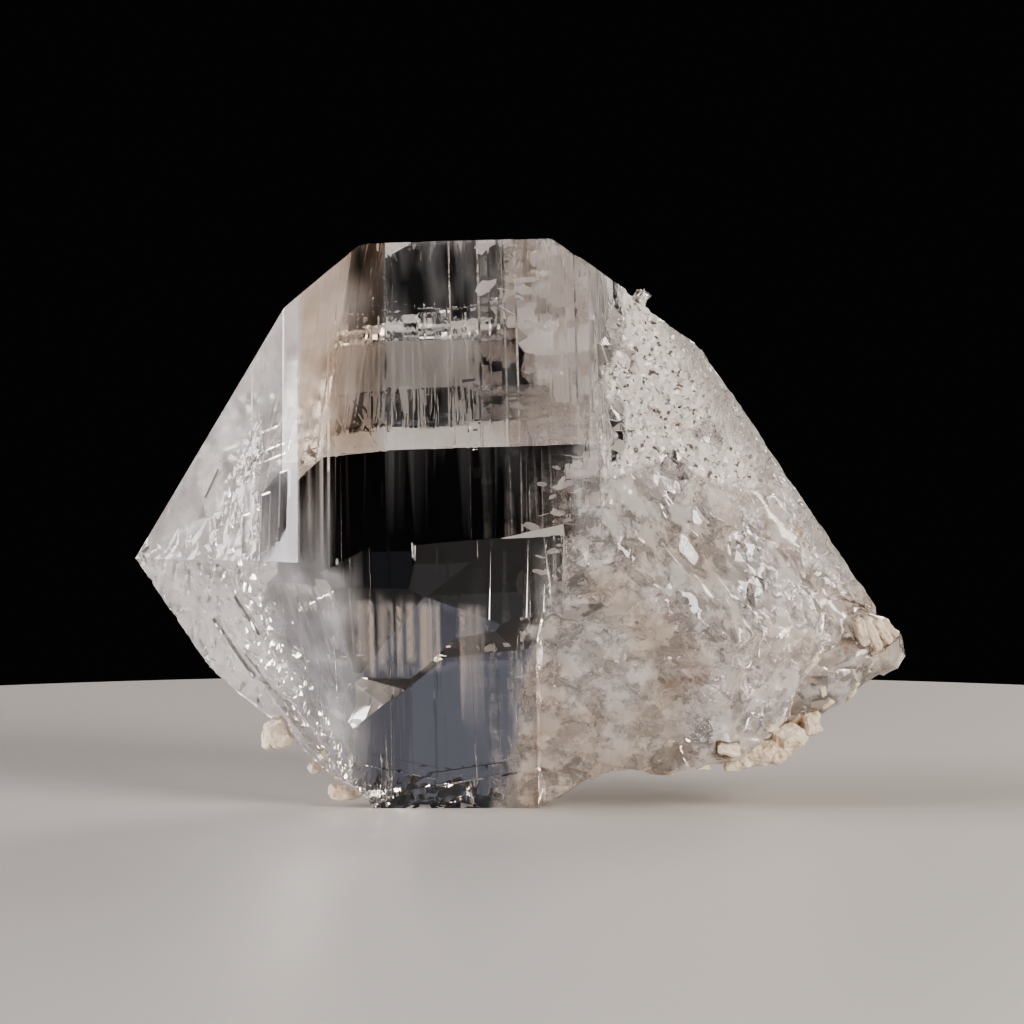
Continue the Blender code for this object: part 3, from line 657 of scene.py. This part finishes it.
class SPECIMEN_OT_feldspar(bpy.types.Operator):
    """Makes the pieces of feldspar uneven and grained"""

    bl_idname = "specimen.feldspar"
    bl_label = "Feldspar"

    def execute(self, context):
        cream = feldspar_material()
        for node in [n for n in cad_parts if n.startswith("feldspar")]:
            thing = copy_of_node(node, node.replace("feldspar", "grained_feldspar"))
            body = bmesh.new()
            body.from_mesh(thing.data)
            bmesh.ops.triangulate(body, faces=body.faces)
            split_long_edges(body, 0.32, lambda point: True)
            body.normal_update()
            moves = []
            for vertex in body.verts:
                height = 0.3 * fractal(vertex.co, 1.5, 12) + 0.09 * fractal(vertex.co, 0.4, 13) - 0.05
                moves.append((vertex, vertex.normal * height * MM))
            for vertex, move in moves:
                vertex.co += move
            body.to_mesh(thing.data)
            body.free()
            thing.data.materials.append(cream)
            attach(thing, "root")
            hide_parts(node)
        return {"FINISHED"}


# Crumbs of cream mineral: how many, the part of the surface they sit on as (x, y, z) ranges, and their size, in mm
CRUMBS = (
    (26, (18, 34), (-9, 6), (3, 13), (0.35, 1.1)),
    (14, (30, 41), (-6, 4), (10, 20), (0.3, 0.8)),
    (10, (-26, -16), (-4, 5), (2, 7), (0.3, 0.7)),
    (10, (6, 20), (-8, 4), (2, 6), (0.3, 0.7)),
)


class SPECIMEN_OT_crumbs(bpy.types.Operator):
    """Sets small crumbs of feldspar in the broken underside and round the right tip"""

    bl_idname = "specimen.crumbs"
    bl_label = "Crumbs"

    def execute(self, context):
        pick = random.Random(23)
        tree = surface_of(bpy.data.objects["clear_quartz"])
        deselect()
        bpy.ops.mesh.primitive_cube_add(size=1.6 * MM, location=(0, 0, 0))
        crumb = context.object
        bpy.ops.object.mode_set(mode="EDIT")
        bpy.ops.mesh.select_all(action="SELECT")
        bpy.ops.mesh.bevel(offset=0.22 * MM, segments=2, affect="EDGES")
        bpy.ops.object.mode_set(mode="OBJECT")
        for vertex in crumb.data.vertices:
            vertex.co *= 1.0 + 0.4 * fractal(vertex.co, 1.1, 31)
        body = bmesh.new()
        for count, xs, ys, zs, sizes in CRUMBS:
            for _ in range(count):
                guess = Vector([pick.uniform(*r) * MM for r in (xs, ys, zs)])
                place, normal, index, distance = tree.find_nearest(guess)
                size = Vector([pick.uniform(*sizes) * k for k in (1.0, 1.0, 0.7)])
                turn = normal.to_track_quat("Z", "X").to_matrix().to_4x4()
                turn = turn @ Matrix.Rotation(pick.uniform(0.0, math.tau), 4, "Z")
                if place.z < 2.4 * MM or normal.z > 0.0 or (normal.y < -0.6 and place.x < 0.0):
                    continue
                copy = crumb.data.copy()
                copy.transform(Matrix.Translation(place - normal * 0.1 * MM) @ turn @ Matrix.Diagonal((*size, 1.0)))
                body.from_mesh(copy)
                bpy.data.meshes.remove(copy)
        bpy.data.objects.remove(crumb)
        mesh = bpy.data.meshes.new("feldspar_crumbs")
        body.to_mesh(mesh)
        body.free()
        crumbs = bpy.data.objects.new("feldspar_crumbs", mesh)
        context.scene.collection.objects.link(crumbs)
        mesh.materials.append(bpy.data.materials["cream feldspar"])
        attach(crumbs, "root")
        return {"FINISHED"}


def add_softbox(name, place, aim, size, power, colour):
    """Rectangular studio light, aimed at a point."""
    bpy.ops.object.light_add(type="AREA", location=[v * MM for v in place])
    lamp = bpy.context.object
    lamp.name = name
    lamp.data.shape = "RECTANGLE"
    lamp.data.size, lamp.data.size_y = size[0] * MM, size[1] * MM
    lamp.data.energy = power
    lamp.data.color = linear(colour)[:3]
    lamp.rotation_euler = (Vector(aim) - Vector(place)).to_track_quat("-Z", "Y").to_euler()
    return lamp


# Softboxes: name, place, point they are aimed at, size, power in watts and colour
SOFTBOXES = (
    ("overhead softbox", (-40, -40, 700), (0, 0, 30), (620, 380), 0.2, "#DDE4F4"),
    ("rear overhead softbox", (0, 520, 640), (0, 0, 30), (760, 320), 0.1, "#C6CDE8"),
    ("left softbox", (-720, -180, 210), (0, 0, 30), (480, 560), 11.0, "#F1EAEE"),
    ("front right softbox", (520, -560, 320), (10, 0, 30), (360, 420), 8.0, "#FFF9F2"),
    ("back softbox", (440, 640, 330), (0, 0, 30), (420, 300), 4.0, "#FFF4E6"),
)


class SPECIMEN_OT_studio(bpy.types.Operator):
    """Makes the floor, the soft lights and the camera"""

    bl_idname = "specimen.studio"
    bl_label = "Studio"

    def execute(self, context):
        settings = context.scene.specimen_stage
        deselect()
        bpy.ops.mesh.primitive_cylinder_add(
            vertices=128, radius=settings.floor_radius * MM, depth=4.0 * MM, location=(0, 0, -2.0 * MM)
        )
        floor = context.object
        floor.name = "pale floor"
        bpy.ops.object.transform_apply(location=True, rotation=True, scale=True)
        material, shader = new_material("matt pale board")
        shader.inputs["Base Color"].default_value = linear(settings.floor_colour)
        shader.inputs["Roughness"].default_value = 0.45
        floor.data.materials.append(material)
        for softbox in SOFTBOXES:
            add_softbox(*softbox)
        world = context.scene.world or bpy.data.worlds.new("dark studio")
        context.scene.world = world
        world.use_nodes = True
        world.node_tree.nodes["Background"].inputs["Color"].default_value = linear("#0D0D0E")
        world.node_tree.nodes["Background"].inputs["Strength"].default_value = 1.0
        elevation = math.radians(2.5)
        target = Vector((-0.95, 0.0, 32.2)) * MM
        back = Vector((0.0, -math.cos(elevation), math.sin(elevation)))
        bpy.ops.object.camera_add(location=target + back * 450.0 * MM)
        camera = context.object
        camera.rotation_euler = (-back).to_track_quat("-Z", "Y").to_euler()
        camera.data.lens = settings.focal_length
        camera.data.clip_start = 0.02
        camera.data.clip_end = 20.0
        context.scene.camera = camera
        context.scene.cycles.max_bounces = 24
        context.scene.cycles.transmission_bounces = 24
        context.scene.cycles.transparent_max_bounces = 24
        context.scene.view_settings.look = "AgX - Medium High Contrast"
        return {"FINISHED"}


class SPECIMEN_PT_panel(bpy.types.Panel):
    """Lists the operators of the specimen"""

    bl_label = "Quartz specimen"
    bl_idname = "SPECIMEN_PT_panel"
    bl_space_type = "VIEW_3D"
    bl_region_type = "UI"
    bl_category = "Specimen"

    def draw(self, context):
        for step in STEPS:
            self.layout.operator(step.bl_idname)


STEPS = (SPECIMEN_OT_crystal, SPECIMEN_OT_cracks, SPECIMEN_OT_feldspar, SPECIMEN_OT_crumbs, SPECIMEN_OT_studio)
CLASSES = (CrystalSettings, StageSettings, *STEPS, SPECIMEN_PT_panel)


def register():
    for made in CLASSES:
        bpy.utils.register_class(made)
    bpy.types.Scene.specimen_crystal = PointerProperty(type=CrystalSettings)
    bpy.types.Scene.specimen_stage = PointerProperty(type=StageSettings)


def unregister():
    del bpy.types.Scene.specimen_stage
    del bpy.types.Scene.specimen_crystal
    for made in reversed(CLASSES):
        bpy.utils.unregister_class(made)


def main():
    register()
    bpy.ops.specimen.crystal()
    bpy.ops.specimen.cracks()
    bpy.ops.specimen.feldspar()
    bpy.ops.specimen.crumbs()
    bpy.ops.specimen.studio()


if __name__ == "__main__":
    main()
